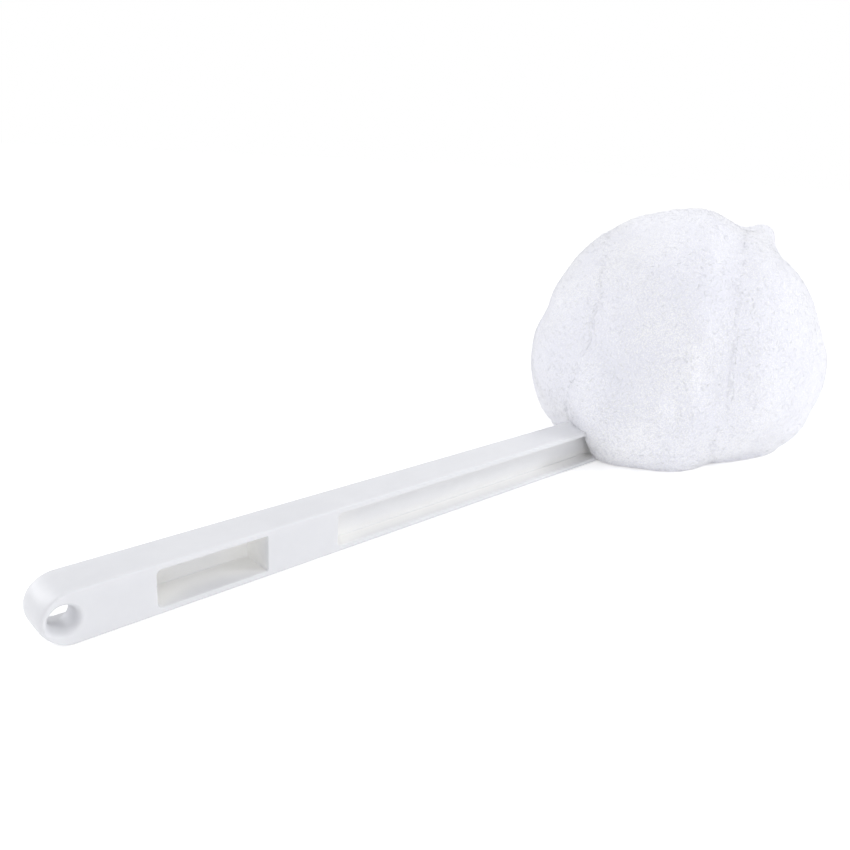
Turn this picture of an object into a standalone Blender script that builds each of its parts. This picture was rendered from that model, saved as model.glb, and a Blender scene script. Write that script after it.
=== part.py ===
"""A toilet bowl mop lying on its side: a moulded handle and a tied head of pile cloth.

Metres, +Z up. +X runs from the hanging hole to the mop head, and the recessed broad face of the
handle looks towards -Y. The origin is on the surface that the mop lies on, under the middle of
its bounding box.
"""

import math

import bmesh
import bpy
from mathutils import Matrix, Vector

# Whole mop
fit_gap = 0.0003            # clearance between pieces that touch
cut_overrun = 0.004         # how far a cutter reaches past the face it cuts

# Handle moulding: a bar of I-section where the channels thin it to a web
handle_length = 0.254
handle_height = 0.0127
handle_thickness = 0.0117
flange_wall = 0.00155
edge_rounding = 0.0005
tail_round_length = 0.0074
tail_rounding_inset = 0.0010
tail_rounding_depth = 0.0036
tail_segments = 12
rounding_steps = 4
handle_crisp_degrees = 30   # edges of the handle sharper than this stay crisp

hang_hole_diameter = 0.0060
hang_hole_from_tail = 0.0051
hang_hole_flare = 0.0012    # widening of the front mouth
hang_hole_flare_depth = 0.0026
hang_hole_segments = 28
tail_recess_from_tail = 0.0020
tail_recess_length = 0.0200
tail_recess_depth = 0.0052
tail_recess_corner = 0.0046

pocket_from_tail = 0.0254
pocket_length = 0.0288
pocket_depth = 0.0102
recess_corner = 0.0013
corner_segments = 4
bridge_length = 0.0215      # solid stretch between the pocket and the channels
channel_stop = 0.0138       # solid stretch between the channels and the shoulder
web_thickness = 0.0014

# Tip of the handle, inside the head
shoulder_length = 0.0060
neck_diameter = 0.0060
neck_length = 0.0120
barb_diameter = 0.0094
barb_pitch = 0.0060
barb_count = 4
tip_nose_length = 0.0040
nose_end_share = 0.95       # of the neck radius, where the round nose is cut off flat
tip_segments = 20

# Neck binding
collar_wall = 0.0012
collar_length = 0.0100
wire_diameter = 0.0011
wire_turns = 3
wire_pitch = 0.0020
wire_points_per_turn = 18
wire_bevel_steps = 1

# Mop head
head_past_tip = 0.051       # from the end of the handle to the far side of the head
head_length = 0.118
head_width = 0.107
head_height = 0.0885
head_belly_height = 0.0325  # height at which the head is widest
strip_turn = math.radians(-61)
near_crease_offset = 0.019
far_crease_offset = 0.031
near_crease_depth = 0.0025
far_crease_depth = 0.0010
crease_width = 0.0065
head_rings = 26
head_segments = 44
cloth_crisp_degrees = 50

# Bumps and hollows of the head: direction (degrees round Z from +X, degrees up) and spread in
# degrees, then the rise of each as a share of the local radius
bump_angles = (
    (-27, 57, 10),
    (-36, 72, 10),
    (-57, 42, 14),
    (-41, 16, 22),
    (-74, -18, 23),
    (-148, -39, 27),
    (-106, -40, 21),
    (168, -18, 20),
    (129, 2, 21),
    (108, 25, 24),
    (-134, 18, 36),
    (19, 28, 40),
    (50, 76, 16),
    (94, -15, 24),
)
bump_rise_shares = (
    0.054, -0.023, -0.074, -0.040, 0.031, 0.068, -0.089, -0.029, 0.026, -0.027, 0.006, 0.030, 0.013, 0.024,
)

# Core pad, folded over the tip, and the cloth that covers it
cover_at_ends = 0.0270      # between the core and the outside of the head, along X
cover_at_sides = 0.0285
cover_on_top = 0.0505
core_belly_height = 0.0130
core_rings = 12
core_segments = 24
band_wall = 0.0080          # side strip over the top of the core
band_width = 0.0340
band_root = 0.0100          # length of the band inside each side lobe

# Places worked out from the sizes
overall_length = handle_length + head_past_tip
tail_x = -overall_length / 2
axis_z = handle_height / 2
half_height = handle_height / 2
half_thickness = handle_thickness / 2
tip_length = neck_length + barb_count * barb_pitch
channel_x = tail_x + pocket_from_tail + pocket_length + bridge_length
shoulder_x = tail_x + handle_length - tip_nose_length - tip_length - shoulder_length
neck_x = shoulder_x + shoulder_length
channel_end_x = shoulder_x - channel_stop
neck_radius = neck_diameter / 2
barb_radius = barb_diameter / 2
collar_inner = neck_radius + fit_gap
collar_outer = collar_inner + collar_wall
wire_radius = wire_diameter / 2
wire_path_radius = collar_outer + fit_gap + wire_radius
head_middle_x = overall_length / 2 - head_length / 2
core_length = head_length - 2 * cover_at_ends
core_width = head_width - 2 * cover_at_sides
core_rise = head_height - cover_on_top - core_belly_height
strip_axis = Vector((math.cos(strip_turn), math.sin(strip_turn), 0))


def clear_scene():
    """Remove every object that the file opened with."""
    for thing in list(bpy.data.objects):
        bpy.data.objects.remove(thing, do_unlink=True)


def make_material(name, colour, roughness, metallic=0.0):
    """A plain Principled material."""
    material = bpy.data.materials.new(name)
    material.use_nodes = True
    shader = material.node_tree.nodes["Principled BSDF"]
    shader.inputs["Base Color"].default_value = (*colour, 1.0)
    shader.inputs["Roughness"].default_value = roughness
    shader.inputs["Metallic"].default_value = metallic
    material.diffuse_color = (*colour, 1.0)
    return material


def add_object(name, mesh, material=None):
    """Link a mesh into the scene under a name."""
    thing = bpy.data.objects.new(name, mesh)
    bpy.context.scene.collection.objects.link(thing)
    if material:
        mesh.materials.clear()
        mesh.materials.append(material)
    return thing


def mesh_from(bm, name):
    """Close a bmesh into a mesh whose faces point outwards."""
    bmesh.ops.recalc_face_normals(bm, faces=bm.faces)
    mesh = bpy.data.meshes.new(name)
    bm.to_mesh(mesh)
    bm.free()
    return mesh


def loft(rings, name):
    """A closed body through rings of equally many points, capped at both ends."""
    bm = bmesh.new()
    rows = [[bm.verts.new(point) for point in ring] for ring in rings]
    count = len(rows[0])
    for lower, upper in zip(rows, rows[1:]):
        for i in range(count):
            j = (i + 1) % count
            bm.faces.new((lower[i], lower[j], upper[j], upper[i]))
    bm.faces.new(list(reversed(rows[0])))
    bm.faces.new(rows[-1])
    return mesh_from(bm, name)


def lathe_along(direction, origin, profile, segments, name):
    """A body turned about an axis: profile holds (distance along it, radius)."""
    axis = Vector(direction)
    side = Vector((0, 0, 1))
    other = axis.cross(side)
    rings = []
    for distance, radius in profile:
        ring = []
        for i in range(segments):
            angle = math.tau * i / segments
            spoke = side * math.cos(angle) + other * math.sin(angle)
            ring.append(Vector(origin) + axis * distance + spoke * radius)
        rings.append(ring)
    return loft(rings, name)


def block(low, high, name):
    """A box between two corners."""
    corners = [(low[0], low[1]), (high[0], low[1]), (high[0], high[1]), (low[0], high[1])]
    rings = [[(x, y, z) for x, y in corners] for z in (low[2], high[2])]
    return loft(rings, name)


def rounded_block(low, high, radius, name):
    """A box with its four edges along Y rounded."""
    centres = (
        (high[0] - radius, high[2] - radius),
        (low[0] + radius, high[2] - radius),
        (low[0] + radius, low[2] + radius),
        (high[0] - radius, low[2] + radius),
    )
    outline = []
    for quarter, (x, z) in enumerate(centres):
        for step in range(corner_segments + 1):
            angle = math.radians(90) * (quarter + step / corner_segments)
            outline.append((x + radius * math.cos(angle), z + radius * math.sin(angle)))
    rings = [[(x, y, z) for x, z in outline] for y in (low[1], high[1])]
    return loft(rings, name)


def combine(target, tool_mesh, operation):
    """Cut, keep or add a tool solid, and leave the result as the target's own mesh."""
    tool = add_object("tool", tool_mesh)
    tool.hide_render = True
    tool.display_type = "WIRE"
    modifier = target.modifiers.new(operation.lower(), "BOOLEAN")
    modifier.operation = operation
    modifier.object = tool
    depsgraph = bpy.context.evaluated_depsgraph_get()
    result = bpy.data.meshes.new_from_object(target.evaluated_get(depsgraph))
    target.modifiers.remove(modifier)
    target.data = result
    bpy.data.objects.remove(tool, do_unlink=True)


def smooth(thing, degrees):
    """Shade smooth, with edges sharper than an angle kept crisp."""
    thing.data.shade_smooth()
    thing.data.set_sharp_from_angle(angle=math.radians(degrees))


def quarter_inset(depth, inset, reach):
    """How far a rounded edge stands back at a depth from the face."""
    if depth >= reach:
        return 0.0
    share = 1 - depth / reach
    return inset * (1 - math.sqrt(1 - share * share))


def handle_bar():
    """The bar with its round tail, drawn as outlines stacked through its thickness."""
    depth_shares = (0, 0.06, 0.18, 0.4, 0.7, 1)
    depths = [tail_rounding_depth * share for share in depth_shares]
    depths += [handle_thickness - depth for depth in reversed(depths)]
    rings = []
    for depth in depths:
        from_face = min(depth, handle_thickness - depth)
        inset = quarter_inset(from_face, edge_rounding, edge_rounding)
        tail_inset = max(inset, quarter_inset(from_face, tail_rounding_inset, tail_rounding_depth))
        y = depth - half_thickness
        long_half = tail_round_length - tail_inset
        short_half = half_height - inset
        ring = []
        for step in range(tail_segments + 1):
            angle = math.radians(90) + math.radians(180) * step / tail_segments
            x = tail_x + tail_round_length + long_half * math.cos(angle)
            ring.append((x, y, axis_z + short_half * math.sin(angle)))
        end_x = shoulder_x + shoulder_length - inset
        for x, side in ((shoulder_x, -1), (end_x, -0.5), (end_x, 0.5), (shoulder_x, 1)):
            ring.append((x, y, axis_z + side * short_half))
        rings.append(ring)
    return loft(rings, "handle")


def tip_profile():
    """Radius along the neck and the barbed tip, from inside the shoulder to the nose."""
    profile = [(-shoulder_length, neck_radius), (neck_length, neck_radius)]
    along = neck_length
    for barb in range(barb_count):
        profile.append((along, barb_radius))
        along += barb_pitch
        profile.append((along, neck_radius))
    for step in range(1, rounding_steps + 1):
        share = step / rounding_steps
        narrowing = nose_end_share * share
        profile.append((along + tip_nose_length * share, neck_radius * math.sqrt(1 - narrowing**2)))
    return profile


def hang_hole_profile():
    """Radius through the thickness: a plain bore with its front mouth flared."""
    bore = hang_hole_diameter / 2
    mouth = []
    for step in range(rounding_steps + 1):
        depth = hang_hole_flare_depth * step / rounding_steps
        mouth.append((depth, bore + quarter_inset(depth, hang_hole_flare, hang_hole_flare_depth)))
    return [(-cut_overrun, mouth[0][1])] + mouth + [(handle_thickness + cut_overrun, bore)]


def cut_recess(handle, span, depths, corner, name):
    """Cut a block with rounded corners between the flanges, from one side of the bar."""
    near, far = sorted(depths)
    low = (span[0], near, flange_wall)
    high = (span[1], far, handle_height - flange_wall)
    combine(handle, rounded_block(low, high, corner, name), "DIFFERENCE")


def build_handle(material):
    """The one-piece handle: bar, recesses, hanging hole and barbed tip."""
    handle = add_object("handle", handle_bar())
    outer = half_thickness + cut_overrun
    pocket_x = tail_x + pocket_from_tail
    pocket_span = (pocket_x, pocket_x + pocket_length)
    cut_recess(handle, pocket_span, (-outer, pocket_depth - half_thickness), recess_corner, "pocket")
    tail_x_start = tail_x + tail_recess_from_tail
    tail_span = (tail_x_start, tail_x_start + tail_recess_length)
    tail_depths = (half_thickness - tail_recess_depth, outer)
    cut_recess(handle, tail_span, tail_depths, tail_recess_corner, "tail_recess")
    for side in (-1, 1):
        channel_depths = (side * web_thickness / 2, side * outer)
        cut_recess(handle, (channel_x, channel_end_x), channel_depths, recess_corner, "channel")
    hole_origin = (tail_x + hang_hole_from_tail, -half_thickness, axis_z)
    hole = lathe_along((0, 1, 0), hole_origin, hang_hole_profile(), hang_hole_segments, "hole")
    combine(handle, hole, "DIFFERENCE")
    tip = lathe_along((1, 0, 0), (neck_x, 0, axis_z), tip_profile(), tip_segments, "tip")
    combine(handle, tip, "UNION")
    handle.data.materials.clear()
    handle.data.materials.append(material)
    smooth(handle, handle_crisp_degrees)
    return handle


def collar_span():
    """Where the gathered cloth lies along the neck."""
    start = neck_x + fit_gap
    return start, start + collar_length


def build_collar(material):
    """The gathered backing of the strips, a sleeve round the neck."""
    start, end = collar_span()
    outside = [(0, collar_outer), (end - start, collar_outer)]
    collar = add_object(
        "gathered_backing",
        lathe_along((1, 0, 0), (start, 0, axis_z), outside, tip_segments, "collar"),
    )
    reach = end - start + cut_overrun
    bore = [(-cut_overrun, collar_inner), (reach, collar_inner)]
    combine(collar, lathe_along((1, 0, 0), (start, 0, axis_z), bore, tip_segments, "bore"), "DIFFERENCE")
    collar.data.materials.clear()
    collar.data.materials.append(material)
    smooth(collar, cloth_crisp_degrees)


def build_wire(material):
    """The binding wire: a few open turns round the gathered backing."""
    start, end = collar_span()
    wound = wire_turns * wire_pitch
    first_x = (start + end) / 2 - wound / 2
    count = wire_turns * wire_points_per_turn
    curve = bpy.data.curves.new("binding_wire", "CURVE")
    curve.dimensions = "3D"
    curve.bevel_depth = wire_radius
    curve.bevel_resolution = wire_bevel_steps
    curve.use_fill_caps = True
    spline = curve.splines.new("POLY")
    spline.points.add(count)
    points = []
    for i in range(count + 1):
        angle = math.tau * i / wire_points_per_turn
        along = first_x + wound * i / count
        y = wire_path_radius * math.sin(angle)
        z = axis_z + wire_path_radius * math.cos(angle)
        points.append(Vector((along, y, z)))
        spline.points[i].co = (along, y, z, 1)
    curve.materials.append(material)
    wire = bpy.data.objects.new("binding_wire", curve)
    bpy.context.scene.collection.objects.link(wire)
    least = min(
        (points[i] - points[j]).length
        for i in range(count + 1)
        for j in range(i + wire_points_per_turn // 2, count + 1)
    )
    print(f"least gap between turns of the wire: {(least - wire_diameter) * 1000:.2f} mm")


def bump_factor(direction):
    """One plus the bumps and hollows in a direction from the middle of the head."""
    factor = 1.0
    for (turn, lift, spread), rise in zip(bump_angles, bump_rise_shares):
        flat = math.cos(math.radians(lift))
        centre = Vector((
            flat * math.cos(math.radians(turn)),
            flat * math.sin(math.radians(turn)),
            math.sin(math.radians(lift)),
        ))
        angle = direction.angle(centre)
        factor += rise * math.exp(-((angle / math.radians(spread)) ** 2))
    return factor


def crease_cut(along_strip):
    """Depth of the two creases at a distance along the side strip's direction."""
    creases = ((near_crease_offset, near_crease_depth), (-far_crease_offset, far_crease_depth))
    cut = 0.0
    for place, depth in creases:
        cut += depth * math.exp(-(((along_strip - place) / crease_width) ** 2))
    return cut


def head_surface():
    """The outside of the whole head, before it is parted into strips."""
    above = head_height - head_belly_height
    bm = bmesh.new()
    bmesh.ops.create_uvsphere(bm, u_segments=head_segments, v_segments=head_rings, radius=1)
    for vert in bm.verts:
        direction = vert.co.normalized()
        base = Vector((
            direction.x * head_length / 2,
            direction.y * head_width / 2,
            direction.z * above,
        ))
        place = base * bump_factor(direction)
        place -= direction * crease_cut(place.dot(strip_axis))
        vert.co = place
    bmesh.ops.bisect_plane(
        bm,
        geom=bm.verts[:] + bm.edges[:] + bm.faces[:],
        plane_co=(0, 0, -head_belly_height),
        plane_no=(0, 0, -1),
        clear_outer=True,
    )
    rim = [edge for edge in bm.edges if edge.is_boundary]
    bmesh.ops.edgeloop_fill(bm, edges=rim)
    lows = [min(vert.co[i] for vert in bm.verts) for i in range(3)]
    highs = [max(vert.co[i] for vert in bm.verts) for i in range(3)]
    sizes = (head_length, head_width, head_height)
    starts = (overall_length / 2 - head_length, -head_width / 2, 0)
    for vert in bm.verts:
        for i in range(3):
            share = (vert.co[i] - lows[i]) / (highs[i] - lows[i])
            vert.co[i] = starts[i] + share * sizes[i]
    return mesh_from(bm, "head")


def core_surface(grow):
    """The core pad's outside, larger all round by a clearance, standing on the surface."""
    bm = bmesh.new()
    bmesh.ops.create_uvsphere(bm, u_segments=core_segments, v_segments=core_rings, radius=1)
    for vert in bm.verts:
        vert.co.x *= core_length / 2 + grow
        vert.co.y *= core_width / 2 + grow
        vert.co.z *= core_rise + grow
        vert.co += Vector((head_middle_x, 0, core_belly_height))
    floor_z = -cut_overrun if grow else 0
    bmesh.ops.bisect_plane(
        bm,
        geom=bm.verts[:] + bm.edges[:] + bm.faces[:],
        plane_co=(0, 0, floor_z),
        plane_no=(0, 0, -1),
        clear_outer=True,
    )
    rim = [edge for edge in bm.edges if edge.is_boundary]
    bmesh.ops.edgeloop_fill(bm, edges=rim)
    return mesh_from(bm, "core")


def handle_clearance():
    """The space that the handle, the sleeve and the wire take inside the head."""
    reach = barb_radius + fit_gap
    low = (tail_x, -half_thickness - fit_gap, -cut_overrun)
    high = (neck_x + neck_length + reach, half_thickness + fit_gap, handle_height + fit_gap)
    return block(low, high, "handle_space")


def build_core(material):
    """The core pad with the socket that the barbed tip fills."""
    core = add_object("core_pad", core_surface(0))
    combine(core, handle_clearance(), "DIFFERENCE")
    end = tip_length + tip_nose_length + fit_gap
    socket = [(0, barb_radius + fit_gap), (end, barb_radius + fit_gap)]
    combine(core, lathe_along((1, 0, 0), (neck_x, 0, axis_z), socket, tip_segments, "socket"), "DIFFERENCE")
    core.data.materials.clear()
    core.data.materials.append(material)
    smooth(core, cloth_crisp_degrees)


def turned_block(low, high, name):
    """A box in the strips' directions: along the side strip, across it, and up."""
    mesh = block(low, high, name)
    middle = Matrix.Translation((head_middle_x, 0, 0))
    mesh.transform(middle @ Matrix.Rotation(strip_turn, 4, "Z"))
    return mesh


def middle_slab(grow):
    """The part of the head between the two creases."""
    far = overall_length
    low = (-far_crease_offset - grow, -far, -cut_overrun)
    high = (near_crease_offset + grow, far, head_height + cut_overrun)
    return turned_block(low, high, "slab")


def crossing_band(grow):
    """The side strip where it passes over the core pad, from lobe to lobe."""
    top = core_belly_height + core_rise + band_wall
    low = (-far_crease_offset - band_root - grow, -band_width / 2 - grow, core_belly_height - grow)
    high = (near_crease_offset + band_root + grow, band_width / 2 + grow, top + grow)
    return turned_block(low, high, "band")


def build_strips(side_material, top_material):
    """The two crossed strips of pile cloth that make the ball."""
    top = add_object("top_pile_strip", head_surface())
    combine(top, middle_slab(-fit_gap / 2), "INTERSECT")
    combine(top, crossing_band(fit_gap), "DIFFERENCE")
    side = add_object("side_pile_strip", head_surface())
    combine(side, middle_slab(fit_gap / 2), "DIFFERENCE")
    combine(side, crossing_band(0), "UNION")
    for strip, material in ((top, top_material), (side, side_material)):
        combine(strip, core_surface(fit_gap), "DIFFERENCE")
        combine(strip, handle_clearance(), "DIFFERENCE")
        strip.data.materials.clear()
        strip.data.materials.append(material)
        smooth(strip, cloth_crisp_degrees)


def main():
    """Build every piece of the mop."""
    clear_scene()
    build_handle(make_material("white_moulding", (0.86, 0.87, 0.86), 0.38))
    build_collar(make_material("knit_backing", (0.80, 0.80, 0.80), 0.95))
    build_wire(make_material("galvanised_wire", (0.60, 0.61, 0.62), 0.35, 1.0))
    build_core(make_material("core_pile", (0.84, 0.84, 0.87), 0.95))
    side = make_material("side_pile", (0.88, 0.88, 0.92), 0.95)
    top = make_material("top_pile", (0.87, 0.87, 0.92), 0.95)
    build_strips(side, top)


main()
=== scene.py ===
"""The toilet bowl mop, dressed: moulded handle, wired neck and a head of deep pile.

Metres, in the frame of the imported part: +X from the hanging hole to the head, +Z up.
"""

import math

import bmesh
import bpy
import numpy as np
from mathutils import Matrix, Vector
from mathutils.bvhtree import BVHTree


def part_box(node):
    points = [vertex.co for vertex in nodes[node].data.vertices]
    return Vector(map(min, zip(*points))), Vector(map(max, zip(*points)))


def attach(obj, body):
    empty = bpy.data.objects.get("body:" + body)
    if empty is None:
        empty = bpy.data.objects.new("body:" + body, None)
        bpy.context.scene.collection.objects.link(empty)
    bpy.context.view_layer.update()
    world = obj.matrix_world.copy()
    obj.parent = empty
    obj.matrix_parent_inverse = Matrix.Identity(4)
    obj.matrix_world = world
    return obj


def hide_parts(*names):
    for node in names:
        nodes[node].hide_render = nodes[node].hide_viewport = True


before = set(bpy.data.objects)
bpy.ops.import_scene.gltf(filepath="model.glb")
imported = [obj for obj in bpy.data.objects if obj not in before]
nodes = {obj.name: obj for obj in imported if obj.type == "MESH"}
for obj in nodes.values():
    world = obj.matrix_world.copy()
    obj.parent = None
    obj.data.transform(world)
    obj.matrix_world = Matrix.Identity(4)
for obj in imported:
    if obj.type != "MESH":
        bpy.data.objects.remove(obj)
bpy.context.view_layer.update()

MM = 0.001

# sizes of the handle
handle_low, handle_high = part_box("handle")
tail_x = handle_low.x
axis_z = (handle_low.z + handle_high.z) / 2
half_height = (handle_high.z - handle_low.z) / 2
half_thickness = (handle_high.y - handle_low.y) / 2

flange_wall = 1.55 * MM
edge_rounding = 0.55 * MM
tail_round_length = 7.4 * MM
tail_rounding_inset = 1.0 * MM
tail_rounding_depth = 3.6 * MM
hole_from_tail = 5.1 * MM
hole_radius = 3.0 * MM
hole_flare = 1.2 * MM
hole_flare_depth = 2.6 * MM
tail_recess_from_tail = 2.0 * MM
tail_recess_length = 20.0 * MM
tail_recess_depth = 5.2 * MM
tail_recess_corner = 4.6 * MM
pocket_from_tail = 25.4 * MM
pocket_length = 28.8 * MM
pocket_depth = 10.2 * MM
bridge_length = 21.5 * MM
web_thickness = 1.4 * MM
recess_corner = 1.3 * MM
pocket_inner_corner = 0.5 * MM
mouth_rounding = 0.32 * MM
floor_rounding = 0.45 * MM
shoulder_length = 6.0 * MM
channel_stop = 13.8 * MM
neck_radius = 3.0 * MM
neck_length = 12.0 * MM
barb_radius = 4.7 * MM
barb_pitch = 6.0 * MM
barb_count = 4
nose_length = 4.0 * MM
cutter_margin = 2 * MM

pocket_x = tail_x + pocket_from_tail
channel_x = pocket_x + pocket_length + bridge_length
tip_length = neck_length + barb_count * barb_pitch
neck_x = handle_high.x - nose_length - tip_length
shoulder_x = neck_x - shoulder_length
channel_end_x = shoulder_x - channel_stop
# from here on to the head, light is painted into the recesses' colour, standing in for room light through
# the thin walls
painted_light_start_x = pocket_x - 2 * MM
painted_light_fade = 1 * MM

# sizes of the gathered sleeve
sleeve_radius = 4.05 * MM
sleeve_bore_radius = 3.3 * MM
sleeve_bore_margin = 1 * MM
sleeve_folds = 11
sleeve_fold_height = 0.28 * MM
sleeve_fold_turn = 3
sleeve_swell_height = 0.125 * MM
sleeve_swells = 2.5

# sizes of the head
head_low = Vector(map(min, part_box("side_pile_strip")[0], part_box("top_pile_strip")[0]))
head_high = Vector(map(max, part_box("side_pile_strip")[1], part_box("top_pile_strip")[1]))
# height of the head's widest level
head_belly = 32.5 * MM
head_middle = Vector(((head_low.x + head_high.x) / 2, (head_low.y + head_high.y) / 2, head_belly))
head_half = Vector((
    (head_high.x - head_low.x) / 2,
    (head_high.y - head_low.y) / 2,
    head_high.z - head_belly,
))
# mesh size of the soft bodies, and how many times each is eased
body_cell = 1.6 * MM
strip_cell = 1.1 * MM
pad_easing = 6
joint_easing = 10
strip_easing = 3
skin_reach = 2.6 * MM
crease_overlap = 1.5 * MM
bed_depth = 0.40 * MM
floor_gap = 0.05 * MM
pile_height = 0.4 * MM
# waves of the skin: length, height
swells = ((34 * MM, 0.60 * MM), (14 * MM, 0.14 * MM))
swell_seed = 21
# waves that shift the creases: length, reach
wander_waves = ((38 * MM, 2.2 * MM), (15 * MM, 0.9 * MM))
wander_seed = 71
wander_rise = 12 * MM
# a soft lobe of the head by the handle
lobe_centre = Vector((0.037, -0.007, 0.019))
lobe_radius = 16 * MM
lobe_rise = 8 * MM
# swells of the outline that the camera sees: degrees round the head, half width in degrees, rise
rim_swells = (
    (40, 7, -1.0 * MM),
    (52, 5, 2.8 * MM),
    (66, 8, -0.8 * MM),
    (125, 22, 0.8 * MM),
    (150, 8, -0.7 * MM),
    (168, 9, -1.7 * MM),
    (193, 9, 1.5 * MM),
    (218, 7, -2.1 * MM),
    (232, 7, 1.6 * MM),
    (284, 7, 0.6 * MM),
    (300, 8, -1.0 * MM),
    (319, 8, 1.5 * MM),
    (352, 10, 2.4 * MM),
)
# middle of the head in that view, across and above, as shares of its distance
rim_centre = (0.316, 0.107)
rim_depth = 26 * MM
# the fringe of fibres round the handle where it enters the head
fringe_outside = 15 * MM
fringe_fade = 4 * MM
fringe_end_x = head_low.x + 14 * MM

# colours of the pile and its ground
fibre_low = (0.908, 0.913, 0.966)
ground_low = (0.866, 0.870, 0.932)
pile_high = (1.0, 1.0, 1.0)

# fibre layers: name, where it grows, then a value for each of these inputs of the pile's node tree;
# the density is in fibres per square metre, the thickness is over the length, and Least is the share
# of the fibres that the thinnest patches keep
layer_inputs = ("Density", "Length", "Thickness", "Points", "Rise", "Lean", "Scatter", "Least")
fibre_layers = (
    ("matted", "pile_cover", 1.2e6, 0.7 * MM, 0.16, 2, 0.05, 0.5, 1.0, 0.8),
    ("combed_a", "pile_cover", 0.7e6, 0.9 * MM, 0.20, 3, 0.06, 1.0, 0.9, 0.4),
    ("combed_b", "pile_cover", 0.7e6, 1.1 * MM, 0.17, 3, 0.06, 1.0, 0.9, 0.4),
    ("stray", "pile_cover", 0.2e6, 2.0 * MM, 0.040, 3, 0.26, 1.5, 0.7, 0.6),
    ("bridging", "crease_cover", 3.0e6, 2.0 * MM, 0.070, 3, 0.06, 0.3, 1.0, 1.0),
    ("fringe", "fringe_cover", 0.8e6, 2.8 * MM, 0.040, 3, 0.4, 0.6, 0.6, 1.0),
)
swirl_scale = 85.0
patch_scale = 55.0

# floor and light
floor_half_size = 6.0
floor_sunk = 0.2 * MM
floor_colour = (0.90, 0.90, 0.90)
floor_glow_low = 0.12
floor_glow_seen = 0.42
light_colour = (0.972, 0.976, 1.0)
room_level_low = 0.46
room_level_high = 0.83
lamp_target = Vector((0.06, 0, 0.03))
# lamps: name, place, side of the square, power in watts
lamps = (
    ("key", Vector((0.66, -0.66, 0.76)), 0.35, 4.3),
    ("fill", Vector((-0.72, -0.95, 0.36)), 0.6, 2.0),
    ("rear_left", Vector((-0.60, 0.98, 0.48)), 0.6, 3.9),
)

# the view of the photograph
camera_lens = 34.1
camera_sensor = 36
camera_place = Vector((-0.1947, -0.1595, 0.1024))
camera_yaw = math.radians(43.8)
camera_pitch = math.radians(18.7)
camera_roll = math.radians(3.3)


def camera_axes():
    """Right, up and ahead of the camera."""
    ahead = Vector((
        math.sin(camera_yaw) * math.cos(camera_pitch),
        math.cos(camera_yaw) * math.cos(camera_pitch),
        -math.sin(camera_pitch),
    ))
    level = Vector((math.cos(camera_yaw), -math.sin(camera_yaw), 0))
    upright = level.cross(ahead)
    right = level * math.cos(camera_roll) + upright * math.sin(camera_roll)
    up = upright * math.cos(camera_roll) - level * math.sin(camera_roll)
    return right, up, ahead


# object and mesh helpers
def add_object(name, data, material=None):
    """Link a mesh, lamp or camera into the scene."""
    thing = bpy.data.objects.new(name, data)
    bpy.context.scene.collection.objects.link(thing)
    if material:
        data.materials.clear()
        data.materials.append(material)
    return thing


def loft(rings, name):
    """A closed body through rings of equally many points, capped at both ends."""
    bm = bmesh.new()
    rows = [[bm.verts.new(point) for point in ring] for ring in rings]
    count = len(rows[0])
    for lower, upper in zip(rows, rows[1:]):
        for i in range(count):
            j = (i + 1) % count
            bm.faces.new((lower[i], lower[j], upper[j], upper[i]))
    bm.faces.new(list(reversed(rows[0])))
    bm.faces.new(rows[-1])
    bmesh.ops.recalc_face_normals(bm, faces=bm.faces)
    mesh = bpy.data.meshes.new(name)
    bm.to_mesh(mesh)
    bm.free()
    return mesh


def lathe_along(direction, origin, profile, segments, name):
    """A body turned about an axis: profile holds (distance along it, radius)."""
    axis = Vector(direction)
    side = Vector((0, 0, 1))
    other = axis.cross(side)
    rings = []
    for distance, radius in profile:
        ring = []
        for i in range(segments):
            angle = math.tau * i / segments
            spoke = side * math.cos(angle) + other * math.sin(angle)
            ring.append(Vector(origin) + axis * distance + spoke * radius)
        rings.append(ring)
    return loft(rings, name)


def combine(target, tool_mesh, operation):
    """Cut or add a tool solid, and leave the result as the target's own mesh."""
    tool = add_object("tool", tool_mesh)
    modifier = target.modifiers.new(operation.lower(), "BOOLEAN")
    modifier.operation = operation
    modifier.object = tool
    bake_modifiers(target)
    bpy.data.objects.remove(tool, do_unlink=True)


def bake_modifiers(thing):
    """Replace an object's mesh by what its modifiers make of it."""
    depsgraph = bpy.context.evaluated_depsgraph_get()
    result = bpy.data.meshes.new_from_object(thing.evaluated_get(depsgraph))
    thing.modifiers.clear()
    thing.data = result


def inset_of(depth, inset, reach):
    """How far a rounded edge stands back at a depth from the face."""
    if depth >= reach:
        return 0.0
    share = 1 - depth / reach
    return inset * (1 - math.sqrt(1 - share * share))


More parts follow.
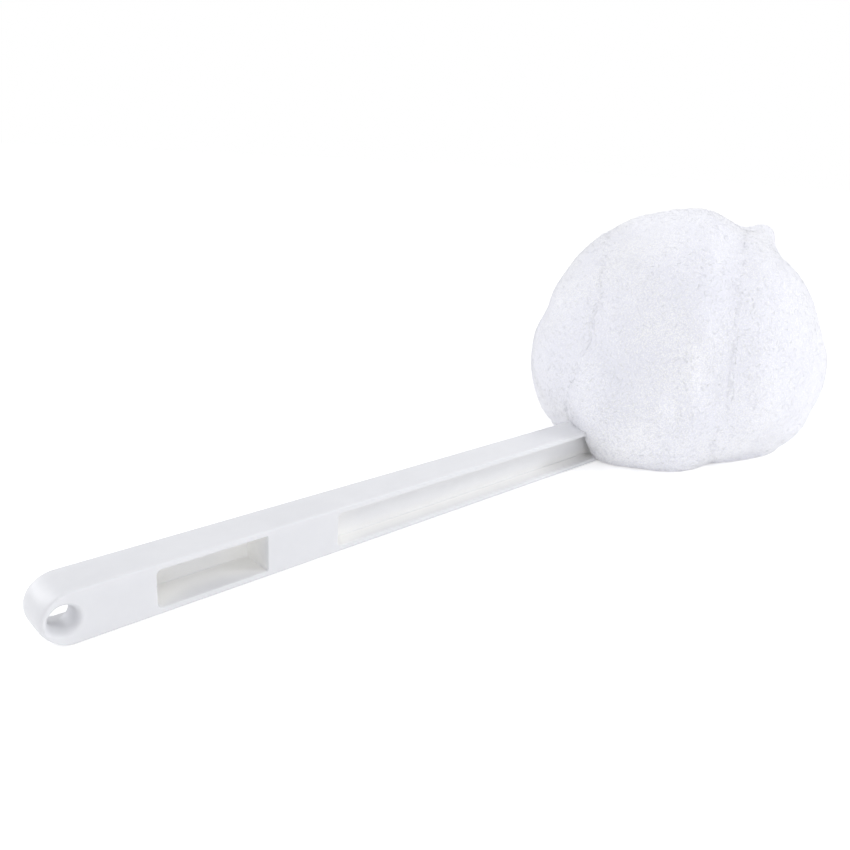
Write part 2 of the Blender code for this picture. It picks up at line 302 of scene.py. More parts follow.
# material helpers
class Nodes:
    """A material's node tree, with short calls to add and join nodes."""

    def __init__(self, name):
        self.material = bpy.data.materials.new(name)
        self.material.use_nodes = True
        self.tree = self.material.node_tree
        self.shader = self.tree.nodes["Principled BSDF"]
        self.place = self.add("ShaderNodeTexCoord").outputs["Object"]

    def add(self, kind, **values):
        node = self.tree.nodes.new(kind)
        for key, value in values.items():
            setattr(node, key, value)
        return node

    def join(self, output, target):
        self.tree.links.new(output, target)

    def noise(self, scale, detail=2.0, roughness=0.5, place=None):
        node = self.add("ShaderNodeTexNoise")
        node.inputs["Scale"].default_value = scale
        node.inputs["Detail"].default_value = detail
        node.inputs["Roughness"].default_value = roughness
        self.join(place or self.place, node.inputs["Vector"])
        return node.outputs["Fac"]

    def ramp(self, fac, stops):
        node = self.add("ShaderNodeValToRGB")
        elements = node.color_ramp.elements
        while len(elements) < len(stops):
            elements.new(0.5)
        for element, (at, colour) in zip(elements, stops):
            element.position = at
            element.color = (*colour, 1.0)
        self.join(fac, node.inputs["Fac"])
        return node.outputs["Color"]

    def spread(self, fac, low, high, from_low=0.3, from_high=0.7):
        node = self.add("ShaderNodeMapRange")
        node.inputs["From Min"].default_value = from_low
        node.inputs["From Max"].default_value = from_high
        node.inputs["To Min"].default_value = low
        node.inputs["To Max"].default_value = high
        self.join(fac, node.inputs["Value"])
        return node.outputs["Result"]

    def bump(self, height, strength, distance, before=None):
        node = self.add("ShaderNodeBump")
        node.inputs["Strength"].default_value = strength
        node.inputs["Distance"].default_value = distance
        self.join(height, node.inputs["Height"])
        if before:
            self.join(before, node.inputs["Normal"])
        return node.outputs["Normal"]

    def set(self, **values):
        for key, value in values.items():
            self.shader.inputs[key.replace("_", " ")].default_value = value


def moulding_material():
    """White plastic: faint flow mottling, a fine tooled skin, and painted light in the recesses: a
    lighter, warmer colour where ambient occlusion finds hollows, standing in for light through the thin
    walls.
    """
    m = Nodes("white_moulding")
    wall_reach = 11 * MM
    shut, wide_open = 0.38, 0.74
    mottling = m.noise(140, 3.0, 0.6)
    outside = m.ramp(mottling, [(0.30, (0.757, 0.761, 0.778)), (0.70, (0.779, 0.783, 0.800))])
    # painted light: the lighter, warmer colour that the hollows get in place of light through the walls
    painted_light_colour = m.ramp(mottling, [(0.30, (0.980, 0.975, 0.950)), (0.70, (0.990, 0.985, 0.960))])
    openness = m.add("ShaderNodeAmbientOcclusion", samples=12, only_local=True)
    openness.inputs["Distance"].default_value = wall_reach
    along = m.add("ShaderNodeSeparateXYZ")
    m.join(m.place, along.inputs["Vector"])
    painted_light_span = m.spread(along.outputs["X"], 0.0, 1.0, painted_light_start_x - painted_light_fade, painted_light_start_x)
    # painted light: how much of that colour a place gets, from ambient occlusion and from the start near
    # the pocket
    painted_light_share = m.add("ShaderNodeMath", operation="MULTIPLY")
    m.join(m.spread(openness.outputs["AO"], 1.0, 0.0, shut, wide_open), painted_light_share.inputs[0])
    m.join(painted_light_span, painted_light_share.inputs[1])
    blend = m.add("ShaderNodeMix", data_type="RGBA")
    m.join(painted_light_share.outputs[0], blend.inputs["Factor"])
    m.join(outside, blend.inputs[6])
    m.join(painted_light_colour, blend.inputs[7])
    m.join(blend.outputs[2], m.shader.inputs["Base Color"])
    m.join(m.spread(m.noise(420, 3.0), 0.34, 0.46), m.shader.inputs["Roughness"])
    skin = m.bump(m.noise(2600, 2.0), 0.10, 0.05 * MM)
    m.join(m.bump(m.noise(210, 2.0), 0.12, 0.12 * MM, skin), m.shader.inputs["Normal"])
    m.set(IOR=1.49, Subsurface_Weight=0.3)
    m.set(Subsurface_Scale=3.0 * MM, Subsurface_Radius=(1.0, 1.0, 1.0))
    return m.material


def pile_material(name, low, high):
    """Acrylic pile fibres: tone by fibre, with a little sheen."""
    m = Nodes(name)
    tone = m.add("ShaderNodeAttribute", attribute_name="tone")
    m.join(m.ramp(tone.outputs["Fac"], [(0.50, low), (0.70, high)]), m.shader.inputs["Base Color"])
    m.set(Roughness=0.30, IOR=1.5, Sheen_Weight=0.8, Sheen_Roughness=0.5)
    return m.material


def pile_ground_material(name, low, high):
    """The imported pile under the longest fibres."""
    m = Nodes(name)
    fine = m.noise(2400, 3.0, 0.65)
    clumps = m.noise(260, 2.0, 0.5)
    brighter = m.spread(m.noise(38, 2.0), -0.06, 0.06)
    specks = m.add("ShaderNodeMath", operation="ADD")
    m.join(fine, specks.inputs[0])
    m.join(brighter, specks.inputs[1])
    m.join(m.ramp(specks.outputs[0], [(0.51, low), (0.59, high)]), m.shader.inputs["Base Color"])
    soft = m.bump(clumps, 0.18, 0.6 * MM)
    m.join(m.bump(fine, 0.18, 0.25 * MM, soft), m.shader.inputs["Normal"])
    m.set(Roughness=0.9, Sheen_Weight=0.8, Sheen_Roughness=0.5)
    return m.material


def knit_material():
    """Knitted backing cloth, gathered along the neck."""
    m = Nodes("knit_backing")
    wave = m.add("ShaderNodeTexWave", wave_type="BANDS", bands_direction="X")
    wave.inputs["Scale"].default_value = 420
    wave.inputs["Distortion"].default_value = 3.0
    m.join(m.place, wave.inputs["Vector"])
    yarn = m.ramp(wave.outputs["Fac"], [(0.0, (0.62, 0.62, 0.60)), (1.0, (0.82, 0.82, 0.80))])
    m.join(yarn, m.shader.inputs["Base Color"])
    m.join(m.bump(wave.outputs["Fac"], 0.7, 0.2 * MM), m.shader.inputs["Normal"])
    m.set(Roughness=0.95)
    return m.material


def wire_material():
    """Galvanised wire with a dull crystalline skin."""
    m = Nodes("galvanised_wire")
    grain = m.noise(1800, 3.0, 0.6)
    zinc = m.ramp(grain, [(0.3, (0.50, 0.51, 0.52)), (0.7, (0.66, 0.67, 0.68))])
    m.join(zinc, m.shader.inputs["Base Color"])
    m.join(m.spread(grain, 0.30, 0.50), m.shader.inputs["Roughness"])
    m.join(m.bump(grain, 0.25, 0.05 * MM), m.shader.inputs["Normal"])
    m.set(Metallic=1.0)
    return m.material


# handle
def bar_mesh():
    """The bar with its round tail, as outlines stacked through its thickness."""
    tail_segments = 48
    shares = (0, 0.02, 0.05, 0.09, 0.153, 0.24, 0.36, 0.5, 0.7, 1)
    depths = [tail_rounding_depth * share for share in shares]
    depths += [2 * half_thickness - depth for depth in reversed(depths)]
    rings = []
    for depth in depths:
        from_face = min(depth, 2 * half_thickness - depth)
        inset = inset_of(from_face, edge_rounding, edge_rounding)
        tail_inset = max(inset, inset_of(from_face, tail_rounding_inset, tail_rounding_depth))
        long_half = tail_round_length - tail_inset
        short_half = half_height - inset
        y = depth - half_thickness
        ring = []
        for step in range(tail_segments + 1):
            angle = math.radians(90) + math.radians(180) * step / tail_segments
            x = tail_x + tail_round_length + long_half * math.cos(angle)
            ring.append((x, y, axis_z + short_half * math.sin(angle)))
        end_x = neck_x - inset
        for x, side in ((shoulder_x, -1), (end_x, -0.5), (end_x, 0.5), (shoulder_x, 1)):
            ring.append((x, y, axis_z + side * short_half))
        rings.append(ring)
    return loft(rings, "bar")


def recess_mesh(low_x, high_x, face_y, floor_y, tail_corner=recess_corner, head_corner=recess_corner):
    """A cutter with rounded corners, a rounded mouth and a rounded floor."""
    steps = 5
    corner_segments = 8
    inward = 1 if floor_y > face_y else -1
    depth = abs(floor_y - face_y)
    levels = [(-cutter_margin, mouth_rounding)]
    for step in range(steps + 1):
        along = mouth_rounding * step / steps
        levels.append((along, inset_of(along, mouth_rounding, mouth_rounding)))
    for step in range(steps + 1):
        left = floor_rounding * (1 - step / steps)
        levels.append((depth - left, -inset_of(left, floor_rounding, floor_rounding)))
    rings = []
    for along, grow in levels:
        y = face_y + inward * along
        ring = []
        for quarter, (across, above) in enumerate(((1, 1), (-1, 1), (-1, -1), (1, -1))):
            corner = head_corner if across > 0 else tail_corner
            x = high_x - corner if across > 0 else low_x + corner
            z = above * (half_height - flange_wall - corner)
            radius = corner + grow
            for step in range(corner_segments + 1):
                angle = math.radians(90) * (quarter + step / corner_segments)
                ring.append((x + radius * math.cos(angle), y, axis_z + z + radius * math.sin(angle)))
        rings.append(ring)
    return loft(rings, "recess")


def hole_mesh():
    """The hanging hole with its front mouth flared."""
    steps = 10
    thickness = 2 * half_thickness
    mouth = []
    for step in range(steps + 1):
        angle = math.radians(90) * step / steps
        depth = hole_flare_depth * (1 - math.cos(angle))
        mouth.append((depth, hole_radius + hole_flare * (1 - math.sin(angle))))
    profile = [(-cutter_margin, mouth[0][1])] + mouth + [(thickness + cutter_margin, hole_radius)]
    origin = (tail_x + hole_from_tail, -half_thickness, axis_z)
    return lathe_along((0, 1, 0), origin, profile, 72, "hole")


def tip_mesh():
    """The neck and the barbed tip."""
    nose_steps = 6
    nose_fullness = 0.95
    profile = [(-shoulder_length / 2, neck_radius), (neck_length, neck_radius)]
    along = neck_length
    for barb in range(barb_count):
        profile.append((along, barb_radius))
        along += barb_pitch
        profile.append((along, neck_radius))
    for step in range(1, nose_steps + 1):
        share = step / nose_steps
        radius = neck_radius * math.sqrt(1 - (nose_fullness * share) ** 2)
        profile.append((along + nose_length * share, radius))
    return lathe_along((1, 0, 0), (neck_x, 0, axis_z), profile, 40, "tip")


def build_handle(material):
    """The one-piece moulding, with rounded edges on the bar, its recesses and the hole's front mouth."""
    handle = add_object("moulded_handle", bar_mesh())
    face = -half_thickness
    pocket_end = pocket_x + pocket_length
    pocket_floor = face + pocket_depth
    cutter = recess_mesh(pocket_x, pocket_end, face, pocket_floor, recess_corner, pocket_inner_corner)
    combine(handle, cutter, "DIFFERENCE")
    back_x = tail_x + tail_recess_from_tail
    back_floor = half_thickness - tail_recess_depth
    back_end = back_x + tail_recess_length
    corner = tail_recess_corner
    cutter = recess_mesh(back_x, back_end, half_thickness, back_floor, corner, corner)
    combine(handle, cutter, "DIFFERENCE")
    for side in (-1, 1):
        cutter = recess_mesh(channel_x, channel_end_x, side * half_thickness, side * web_thickness / 2)
        combine(handle, cutter, "DIFFERENCE")
    combine(handle, hole_mesh(), "DIFFERENCE")
    combine(handle, tip_mesh(), "UNION")
    handle.data.materials.clear()
    handle.data.materials.append(material)
    handle.data.shade_smooth()
    handle.data.set_sharp_from_angle(angle=math.radians(40))
    even = handle.modifiers.new("even_shading", "WEIGHTED_NORMAL")
    even.keep_sharp = True
    even.weight = 100
    bake_modifiers(handle)
    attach(handle, "root")
    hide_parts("handle")


# soft bodies
def merged_copy(cad_nodes, cell, easing):
    """Soft CAD solids copied into one even mesh of small faces, eased a number of times."""
    bm = bmesh.new()
    for node in cad_nodes:
        bm.from_mesh(nodes[node].data)
    mesh = bpy.data.meshes.new("soft")
    bmesh.ops.remove_doubles(bm, verts=bm.verts, dist=0.01 * MM)
    bmesh.ops.recalc_face_normals(bm, faces=bm.faces)
    bm.to_mesh(mesh)
    bm.free()
    thing = add_object("soft", mesh)
    remesh = thing.modifiers.new("even", "REMESH")
    remesh.mode = "VOXEL"
    remesh.voxel_size = cell
    ease = thing.modifiers.new("ease", "SMOOTH")
    ease.factor = 0.5
    ease.iterations = easing
    bake_modifiers(thing)
    return thing


def coordinates(mesh):
    """Vertex places and normals as arrays."""
    places = np.empty(len(mesh.vertices) * 3)
    mesh.vertices.foreach_get("co", places)
    normals = np.array([normal.vector[:] for normal in mesh.vertex_normals])
    return places.reshape(-1, 3), normals


def waves(places, length, seed, count=7):
    """A smooth field of lumps between about -1 and 1, from a few crossing waves."""
    rng = np.random.default_rng(seed)
    total = np.zeros(len(places))
    for _ in range(count):
        direction = rng.normal(size=3)
        direction /= np.linalg.norm(direction)
        total += np.sin(places @ direction * math.tau / length + rng.uniform(0, math.tau))
    return total / math.sqrt(count)


def rising(values, start, width):
    """0 up to a start, 1 from a width beyond it, and a straight rise between them."""
    return np.clip((values - start) / width, 0, 1)


def around_head(places):
    """How far out places are, 1 being the head's round outline, and its outward direction there."""
    almost_nothing = 1e-6
    half = np.array(head_half)
    spokes = (places - np.array(head_middle)) / half
    outward = spokes / half
    outward /= np.maximum(np.linalg.norm(outward, axis=1), almost_nothing)[:, None]
    return np.linalg.norm(spokes, axis=1), outward


def outer_share(places, normals):
    """1 on the open outside of the head, 0 in its creases, hollows and on its flat underside."""
    reach, outward = around_head(places)
    facing = np.einsum("ij,ij->i", outward, normals)
    faces_out = rising(facing, 0.05, 0.35)
    lies_outside = rising(reach, 0.80, 0.06)
    not_underneath = rising(normals[:, 2], -0.96, 0.25)
    return faces_out * lies_outside * not_underneath


def joint_skin():
    """Both strips and the pad as one smooth body, and its surface to measure from."""
    whole = merged_copy(("side_pile_strip", "top_pile_strip", "core_pad"), body_cell, joint_easing)
    places = [vertex.co.copy() for vertex in whole.data.vertices]
    faces = [tuple(face.vertices) for face in whole.data.polygons]
    return whole, BVHTree.FromPolygons(places, faces)


def drawn_to_skin(places, normals, skin):
    """Outside places moved on to the joint skin and on to each other, with its normals and two shares."""
    inside_reach = 0.75
    underside_normal_z = -0.9
    share = outer_share(places, normals)
    drawn = places.copy()
    turned = normals.copy()
    nearness = np.zeros(len(places))
    reach = around_head(places)[0]
    for i in np.flatnonzero((reach > inside_reach) & (normals[:, 2] > underside_normal_z)):
        found, normal, _, gap = skin.find_nearest(Vector(places[i]))
        near = min(max((skin_reach - gap) / (0.5 * skin_reach), 0), 1)
        normal = np.array(normal)
        sideways = normals[i] - normal * np.dot(normal, normals[i])
        drawn[i] += share[i] * near * (np.array(found) - places[i]) + near * crease_overlap * sideways
        turned[i] += near * (normal - normals[i])
        nearness[i] = near
    turned /= np.linalg.norm(turned, axis=1)[:, None]
    return drawn, turned, share, np.maximum(share, nearness * outer_share(drawn, turned))


def wander(places):
    """Shift places along the skin of the head by slow waves, so that creases run unevenly."""
    reach, outward = around_head(places)
    shift = np.zeros_like(places)
    seed = wander_seed
    for length, height in wander_waves:
        for axis in range(3):
            shift[:, axis] += height * waves(places, length, seed, 3)
            seed += 1
    shift -= outward * np.einsum("ij,ij->i", shift, outward)[:, None]
    shift *= rising(places[:, 2], 0, wander_rise)[:, None]
    return places + shift * rising(reach, 0.6, 0.3)[:, None]


def rim_lift(places):
    """Rise of the skin near the outline that the camera sees, from its angle round the head."""
    right, up, ahead = camera_axes()
    offset = places - np.array(camera_place)
    depth = offset @ np.array(ahead)
    across = offset @ np.array(right) / depth - rim_centre[0]
    above = offset @ np.array(up) / depth - rim_centre[1]
    angle = np.degrees(np.arctan2(above, across))
    rise = np.zeros(len(places))
    for centre, half_width, height in rim_swells:
        apart = (angle - centre + 180) % 360 - 180
        rise += height * np.exp(-(apart / half_width) ** 2)
    middle = (head_middle - camera_place).dot(ahead)
    outward = np.hypot(across, above) * middle / head_half.x
    near_rim = np.exp(-((depth - middle) / rim_depth) ** 2) * rising(outward, 0.5, 0.3)
    return rise * near_rim


def lump(thing, skin):
    """Draw a soft body's outside in by the pile's height, add lumps, and note where pile grows."""
    mesh = thing.data
    places, normals = coordinates(mesh)
    drawn, turned, pile_share, share = drawn_to_skin(places, normals, skin)
    lift = np.full(len(places), -pile_height)
    for i, (length, height) in enumerate(swells):
        lift += height * waves(drawn, length, swell_seed + i)
    lift += rim_lift(drawn)
    from_lobe = np.linalg.norm(drawn - np.array(lobe_centre), axis=1)
    lift += lobe_rise * np.exp(-(from_lobe / lobe_radius) ** 2)
    moved = wander(drawn + turned * (lift * share)[:, None])
    moved[:, 2] = np.maximum(moved[:, 2], floor_gap)
    mesh.vertices.foreach_set("co", moved.ravel())
    off_axis = np.hypot(moved[:, 1], moved[:, 2] - axis_z)
    mouth_share = rising(fringe_outside - off_axis, 0, fringe_fade) * rising(-turned[:, 0], 0, 0.5)
    mouth_share *= moved[:, 0] < fringe_end_x
    covers = {
        "pile_cover": pile_share,
        "crease_cover": 4 * (share - pile_share) * pile_share,
        "fringe_cover": mouth_share,
    }
    for name, values in covers.items():
        cover = mesh.attributes.new(name, "FLOAT", "POINT")
        cover.data.foreach_set("value", values)
    mesh.update()
    mesh.shade_smooth()


def sink(thing, depth):
    """Draw a whole surface in by a depth."""
    places, normals = coordinates(thing.data)
    places -= depth * normals
    places[:, 2] = np.maximum(places[:, 2], depth)
    thing.data.vertices.foreach_set("co", places.ravel())
    thing.data.update()


# pile fibres
class FibreNodes:
    """The node tree of the pile, with short calls to add and join nodes."""

    def __init__(self, name):
        self.tree = bpy.data.node_groups.new(name, "GeometryNodeTree")
        self.socket("Geometry", "Geometry")
        self.socket("Geometry", "Geometry", "OUTPUT")
        for label in layer_inputs + ("Swirl Scale", "Patch Scale", "Floor"):
            self.socket(label, "Int" if label == "Points" else "Float")
        self.socket("Seed", "Int")
        self.socket("Cover", "String")
        self.socket("Material", "Material")
        self.given = self.tree.nodes.new("NodeGroupInput").outputs

    def socket(self, label, kind, side="INPUT"):
        self.tree.interface.new_socket(label, in_out=side, socket_type="NodeSocket" + kind)

    def add(self, kind, inputs=(), **values):
        node = self.tree.nodes.new(kind)
        for key, value in values.items():
            setattr(node, key, value)
        for key, value in inputs:
            if isinstance(value, bpy.types.NodeSocket):
                self.tree.links.new(value, node.inputs[key])
            else:
                node.inputs[key].default_value = value
        return node

    def maths(self, operation, first, second):
        return self.add("ShaderNodeMath", ((0, first), (1, second)), operation=operation).outputs[0]

    def vectors(self, operation, first, second=None, scale=None):
        inputs = [(0, first)]
        if second is not None:
            inputs.append((1, second))
        if scale is not None:
            inputs.append(("Scale", scale))
        return self.add("ShaderNodeVectorMath", inputs, operation=operation).outputs["Vector"]

    def chance(self, low, high, seed):
        inputs = ((2, low), (3, high), ("Seed", seed))
        return self.add("FunctionNodeRandomValue", inputs, data_type="FLOAT").outputs[1]

    def vector_chance(self, reach, seed):
        inputs = ((0, (-reach, -reach, -reach)), (1, (reach, reach, reach)), ("Seed", seed))
        return self.add("FunctionNodeRandomValue", inputs, data_type="FLOAT_VECTOR").outputs[0]

    def vector(self, x, y, z):
        return self.add("ShaderNodeCombineXYZ", ((0, x), (1, y), (2, z))).outputs["Vector"]

    def position(self):
        return self.add("GeometryNodeInputPosition").outputs["Position"]


def fibre_points(t):
    """Random points where pile grows, fewer of them in some patches."""
    cover = t.add("GeometryNodeInputNamedAttribute", (("Name", t.given["Cover"]),), data_type="FLOAT")
    noise = t.add("ShaderNodeTexNoise", (("Scale", t.given["Patch Scale"]),)).outputs["Fac"]
    patches = t.add("ShaderNodeMapRange", ((0, noise), (1, 0.35), (2, 0.65), (3, t.given["Least"])))
    density = t.maths("MULTIPLY", t.given["Density"], patches.outputs["Result"])
    density = t.maths("MULTIPLY", density, cover.outputs["Attribute"])
    inputs = (("Mesh", t.given["Geometry"]), ("Density", density), ("Seed", t.given["Seed"]))
    return t.add("GeometryNodeDistributePointsOnFaces", inputs, distribute_method="RANDOM").outputs


def fibre_shapes(t):
    """Three fibres of different curl, one unit long and thinner towards the end."""
    # middle and end of each curl
    curls = (
        ((0, 0.08, 0.5), (0, 0, 1)),
        ((0, 0.3, 0.5), (0, 0.05, 0.9)),
        ((0, -0.25, 0.5), (0, 0.1, 0.9)),
    )
    thinning = 0.6
    ring = t.add("GeometryNodeCurvePrimitiveCircle", (("Resolution", 3), ("Radius", 0.5)), mode="RADIUS")
    kinds = t.add("GeometryNodeJoinGeometry")
    for middle, end in curls:
        bend = t.add(
            "GeometryNodeCurveQuadraticBezier",
            (("Resolution", 6), ("Start", (0, 0, 0)), ("Middle", middle), ("End", end)),
        ).outputs["Curve"]
        inputs = (("Curve", bend), ("Count", t.given["Points"]))
        bend = t.add("GeometryNodeResampleCurve", inputs).outputs["Curve"]
        along = t.add("GeometryNodeSplineParameter").outputs["Factor"]
        taper = t.maths("SUBTRACT", 1.0, t.maths("MULTIPLY", along, thinning))
        width = t.maths("MULTIPLY", taper, t.given["Thickness"])
        tube = t.add(
            "GeometryNodeCurveToMesh",
            (
                ("Curve", bend),
                ("Profile Curve", ring.outputs["Curve"]),
                ("Scale", width),
                ("Fill Caps", True),
            ),
        ).outputs["Mesh"]
        single = t.add("GeometryNodeGeometryToInstance", (("Geometry", tube),)).outputs["Instances"]
        t.tree.links.new(single, kinds.inputs["Geometry"])
    return kinds.outputs["Geometry"]


def fibre_turns(t, outward):
    """How each fibre is turned: combed along the skin in swirls, partly loose, and rising a little."""
    inputs = (("Vector", t.position()), ("Scale", t.given["Swirl Scale"]), ("Detail", 1.5))
    swirl = t.add("ShaderNodeTexNoise", inputs).outputs["Color"]
    combed = t.vectors("SCALE", t.vectors("SUBTRACT", swirl, (0.5, 0.5, 0.5)), scale=t.given["Lean"])
    loose = t.vectors("SCALE", t.vector_chance(1, 11), scale=t.given["Scatter"])
    drift = t.vectors("ADD", combed, loose)
    flat = t.vectors("NORMALIZE", t.vectors("SUBTRACT", drift, t.vectors("PROJECT", drift, outward)))
    rise = t.maths("MULTIPLY", t.given["Rise"], t.chance(0.2, 1.8, 13))
    heading = t.vectors("ADD", flat, t.vectors("SCALE", outward, scale=rise))
    aligned = t.add("FunctionNodeAlignRotationToVector", (("Vector", heading),), axis="Z").outputs[0]
    inputs = (("Rotation", aligned), ("Vector", outward))
    turned = t.add("FunctionNodeAlignRotationToVector", inputs, axis="X", pivot_axis="Z")
    return turned.outputs["Rotation"]


def above_floor(t, fibres):
    """The fibres with every point kept above the floor."""
    here = t.add("ShaderNodeSeparateXYZ", ((0, t.position()),)).outputs
    place = t.vector(here["X"], here["Y"], t.maths("MAXIMUM", here["Z"], t.given["Floor"]))
    lifted = t.add("GeometryNodeSetPosition", (("Geometry", fibres), ("Position", place)))
    return lifted.outputs["Geometry"]


def pile_tree():
    """Fibres scattered over a body where pile grows, each with its own length and tone."""
    t = FibreNodes("pile_fibres")
    points = fibre_points(t)
    size = t.maths("MULTIPLY", t.given["Length"], t.chance(0.55, 1.25, 7))
    flattened = t.maths("MULTIPLY", size, 0.4)
    fibres = t.add(
        "GeometryNodeInstanceOnPoints",
        (
            ("Points", points["Points"]),
            ("Instance", fibre_shapes(t)),
            ("Pick Instance", True),
            ("Rotation", fibre_turns(t, points["Normal"])),
            ("Scale", t.vector(flattened, size, size)),
        ),
    ).outputs["Instances"]
    inputs = (("Geometry", fibres), ("Name", "tone"), ("Value", t.chance(0.0, 1.0, 3)))
    toned = t.add("GeometryNodeStoreNamedAttribute", inputs, data_type="FLOAT", domain="INSTANCE")
    solid = t.add("GeometryNodeRealizeInstances", (("Geometry", toned.outputs["Geometry"]),))
    lifted = above_floor(t, solid.outputs["Geometry"])
    dressed = t.add("GeometryNodeSetMaterial", (("Geometry", lifted), ("Material", t.given["Material"])))
    out = t.tree.nodes.new("NodeGroupOutput")
    t.tree.links.new(dressed.outputs["Geometry"], out.inputs["Geometry"])
    return t.tree


def grow_pile(name, ground, tree, values):
    """One layer of fibres on a body, as a plain mesh."""
    layer = add_object(name, ground.data.copy())
    modifier = layer.modifiers.new("pile", "NODES")
    modifier.node_group = tree
    for item in tree.interface.items_tree:
        if item.in_out == "INPUT" and item.name in values:
            modifier[item.identifier] = values[item.name]
    bake_modifiers(layer)
    layer.data.name = name
    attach(layer, "root")


def build_pad(ground):
    """The inner pad."""
    pad = merged_copy(("core_pad",), body_cell, pad_easing)
    pad.name = pad.data.name = "inner_pad"
    pad.data.shade_smooth()
    pad.data.materials.append(ground)
    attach(pad, "root")
    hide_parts("core_pad")


def build_bed(ground):
    """A bed of pile just under the skin, which backs the creases; returns the skin to measure from."""
    bed, skin = joint_skin()
    lump(bed, skin)
    sink(bed, bed_depth)
    bed.name = bed.data.name = "pile_bed"
    bed.data.materials.append(ground)
    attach(bed, "root")
    return skin


def build_strip(node, slot, ground, skin, tree, first_seed):
    """One strip of pile cloth and its layers of fibres."""
    strip = merged_copy((node,), strip_cell, strip_easing)
    strip.name = strip.data.name = slot + "_cloth"
    lump(strip, skin)
    strip.data.materials.append(ground)
    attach(strip, "root")
    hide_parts(node)
    common = {
        "Swirl Scale": swirl_scale,
        "Patch Scale": patch_scale,
        "Floor": floor_gap,
        "Material": pile_material(slot + "_fibre", fibre_low, pile_high),
    }
    for number, (label, cover, *values) in enumerate(fibre_layers):
        own = {"Cover": cover, "Seed": first_seed + number, **dict(zip(layer_inputs, values))}
        grow_pile(f"{slot}_{label}", strip, tree, {**common, **own})


def build_head():
    """The pad, the two strips and their pile."""
    ground = pile_ground_material("pile_ground", ground_low, pile_high)
    build_pad(ground)
    tree = pile_tree()
    skin = build_bed(ground)
    build_strip("side_pile_strip", "side_pile", ground, skin, tree, 0)
    build_strip("top_pile_strip", "top_pile", ground, skin, tree, 10)


# neck
def build_neck():
    """The gathered backing under the wire, and the wire's own finish."""
    low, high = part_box("gathered_backing")
    steps = 14
    count = sleeve_folds * 8
    rings = []
    for step in range(steps + 1):
        share = step / steps
        swell = sleeve_swell_height * math.cos(math.tau * sleeve_swells * share)
        ring = []
        for i in range(count):
            angle = math.tau * i / count
            fold = sleeve_fold_height * math.cos(sleeve_folds * angle + sleeve_fold_turn * share)
            radius = sleeve_radius + fold + swell
            ring.append((
                low.x + (high.x - low.x) * share,
                radius * math.cos(angle),
                axis_z + radius * math.sin(angle),
            ))
        rings.append(ring)
    sleeve = add_object("gathered_sleeve", loft(rings, "gathered_sleeve"), knit_material())
    bore_start = (low.x - sleeve_bore_margin, 0, axis_z)
    bore_length = high.x - low.x + 2 * sleeve_bore_margin
    bore_profile = [(0, sleeve_bore_radius), (bore_length, sleeve_bore_radius)]
    bore = lathe_along((1, 0, 0), bore_start, bore_profile, 40, "bore")
    combine(sleeve, bore, "DIFFERENCE")
    sleeve.data.shade_smooth()
    sleeve.data.set_sharp_from_angle(angle=math.radians(50))
    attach(sleeve, "root")
    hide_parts("gathered_backing")
    wire = nodes["binding_wire"]
    for holder in wire.material_slots:
        holder.material = wire_material()


# floor, light and camera
def seen_directly(tree):
    """1 for rays from the camera and for those by way of a glossy or clear surface, 0 for the rest."""
    rays = tree.nodes.new("ShaderNodeLightPath")
    seen = rays.outputs["Is Camera Ray"]
    for kind in ("Is Glossy Ray", "Is Transmission Ray"):
        either = tree.nodes.new("ShaderNodeMath")
        either.operation = "MAXIMUM"
        tree.links.new(seen, either.inputs[0])
        tree.links.new(rays.outputs[kind], either.inputs[1])
        seen = either.outputs["Value"]
    return seen


def build_floor():
    """A pale floor that keeps the mop's shadow and is white to the camera."""
    bm = bmesh.new()
    bmesh.ops.create_grid(bm, x_segments=1, y_segments=1, size=floor_half_size)
    mesh = bpy.data.meshes.new("floor")
    bm.to_mesh(mesh)
    bm.free()
    floor = add_object("floor", mesh)
    floor.location.z = -floor_sunk
    material = bpy.data.materials.new("floor")
    material.use_nodes = True
    tree = material.node_tree
    shader = tree.nodes["Principled BSDF"]
    shader.inputs["Base Color"].default_value = (*floor_colour, 1)
    shader.inputs["Roughness"].default_value = 1.0
    shader.inputs["Specular IOR Level"].default_value = 0.0
    glow = tree.nodes.new("ShaderNodeMapRange")
    glow.inputs["To Min"].default_value = floor_glow_low
    glow.inputs["To Max"].default_value = floor_glow_seen
    tree.links.new(seen_directly(tree), glow.inputs["Value"])
    shader.inputs["Emission Color"].default_value = (1, 1, 1, 1)
    tree.links.new(glow.outputs["Result"], shader.inputs["Emission Strength"])
    mesh.materials.append(material)


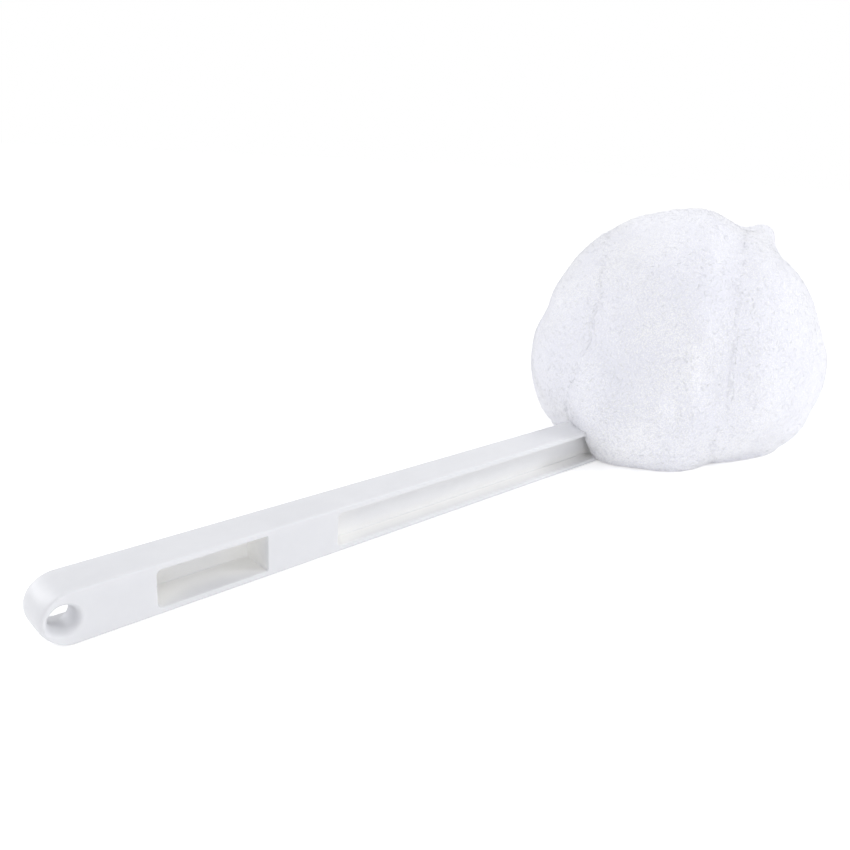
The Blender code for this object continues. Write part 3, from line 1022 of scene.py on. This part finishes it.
def area_light(name, place, size, power):
    """A soft square lamp aimed at the mop."""
    data = bpy.data.lights.new(name, "AREA")
    data.color = light_colour
    data.shape = "SQUARE"
    data.size = size
    data.energy = power
    lamp = add_object(name, data)
    lamp.location = place
    lamp.rotation_mode = "QUATERNION"
    lamp.rotation_quaternion = (lamp_target - place).to_track_quat("-Z", "Y")


def build_light():
    """A bright even room, white to the camera, and three soft lamps."""
    world = bpy.data.worlds.new("room")
    bpy.context.scene.world = world
    world.use_nodes = True
    tree = world.node_tree
    room = tree.nodes["Background"]
    room.inputs["Color"].default_value = (*light_colour, 1)
    way = tree.nodes.new("ShaderNodeTexCoord")
    split = tree.nodes.new("ShaderNodeSeparateXYZ")
    level = tree.nodes.new("ShaderNodeMapRange")
    level.inputs["To Min"].default_value = room_level_low
    level.inputs["To Max"].default_value = room_level_high
    tree.links.new(way.outputs["Generated"], split.inputs["Vector"])
    tree.links.new(split.outputs["Z"], level.inputs["Value"])
    tree.links.new(level.outputs["Result"], room.inputs["Strength"])
    backdrop = tree.nodes.new("ShaderNodeBackground")
    backdrop.inputs["Color"].default_value = (1, 1, 1, 1)
    choice = tree.nodes.new("ShaderNodeMixShader")
    tree.links.new(seen_directly(tree), choice.inputs["Fac"])
    tree.links.new(room.outputs["Background"], choice.inputs[1])
    tree.links.new(backdrop.outputs["Background"], choice.inputs[2])
    tree.links.new(choice.outputs["Shader"], tree.nodes["World Output"].inputs["Surface"])
    for name, place, size, power in lamps:
        area_light(name, place, size, power)


def build_camera():
    """The camera of the photograph, pulled to take in the whole mop."""
    right, up, ahead = camera_axes()
    data = bpy.data.cameras.new("camera")
    data.lens = camera_lens
    data.sensor_width = camera_sensor
    data.clip_start = 0.01
    data.clip_end = 50
    camera = add_object("camera", data)
    axes = Matrix((right, up, -ahead)).transposed()
    camera.matrix_world = Matrix.Translation(camera_place) @ axes.to_4x4()
    bpy.context.scene.camera = camera


def main():
    """Build the mop in its room."""
    build_camera()
    build_light()
    build_floor()
    build_handle(moulding_material())
    build_neck()
    build_head()
    bpy.context.scene.view_settings.view_transform = "Standard"


main()
